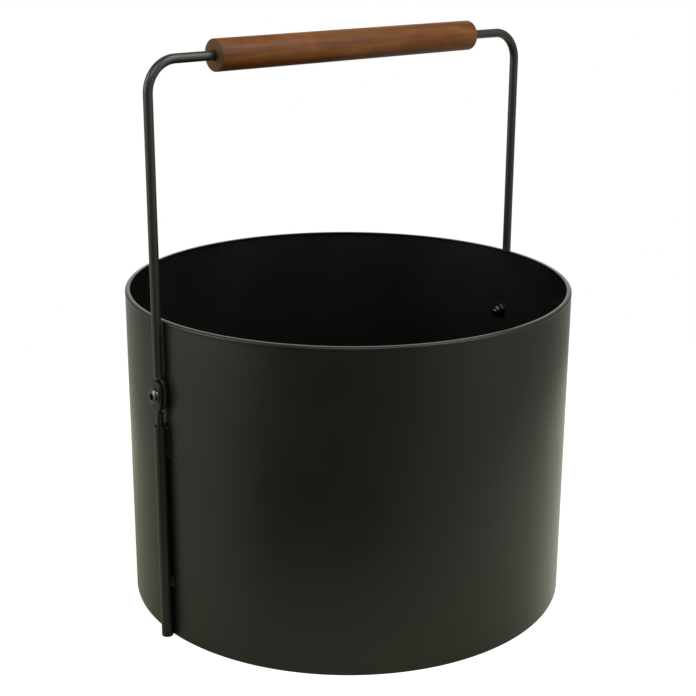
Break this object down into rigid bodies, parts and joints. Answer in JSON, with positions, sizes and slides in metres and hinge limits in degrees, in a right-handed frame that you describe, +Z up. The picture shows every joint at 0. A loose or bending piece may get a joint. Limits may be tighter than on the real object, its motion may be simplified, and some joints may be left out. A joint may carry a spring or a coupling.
{
  "type": "log bucket",
  "caption": "Round sheet-steel log bucket with a rim turned inwards, a bent rod handle that swings on side pivots, and a wooden grip that turns on the rod.",
  "frame": {"origin": "middle of the underside, at floor level", "axes": "+Z up, X along the handle's pivot axis, +Y towards the wall's welded seam"},
  "size_m": [0.425, 0.4, 0.5098],
  "materials": {
    "black_coating": "satin black powder coat",
    "stained_wood": "reddish brown stain under a thin satin varnish",
    "blackened_steel": "blackened, smooth"
  },
  "bodies": {
    "bucket": {"bucket_wall": "black_coating", "seam_weld": "black_coating", "base_plate": "black_coating", "base_weld": "black_coating", "side_tube_left": "black_coating", "side_tube_right": "black_coating", "tube_welds_left": "black_coating", "tube_welds_right": "black_coating", "lower_tongue_left": "black_coating", "lower_tongue_right": "black_coating", "spacer_washer_left": "blackened_steel", "spacer_washer_right": "blackened_steel", "pivot_screw_left": "blackened_steel", "pivot_screw_right": "blackened_steel", "inner_washer_left": "blackened_steel", "inner_washer_right": "blackened_steel", "pivot_nut_left": "blackened_steel", "pivot_nut_right": "blackened_steel"},
    "handle": {"handle_rod": "black_coating"},
    "grip": {"wooden_grip": "stained_wood"}
  },
  "joints": [
    {"name": "handle_swing", "type": "hinge", "parent": "bucket", "child": "handle", "pos_m": [0, 0, 0.2225], "axis": [1, 0, 0], "range_deg": [-128, 128]},
    {"name": "grip_turn", "type": "hinge", "parent": "handle", "child": "grip", "pos_m": [0, 0, 0.4965], "axis": [1, 0, 0], "continuous": true}
  ]
}
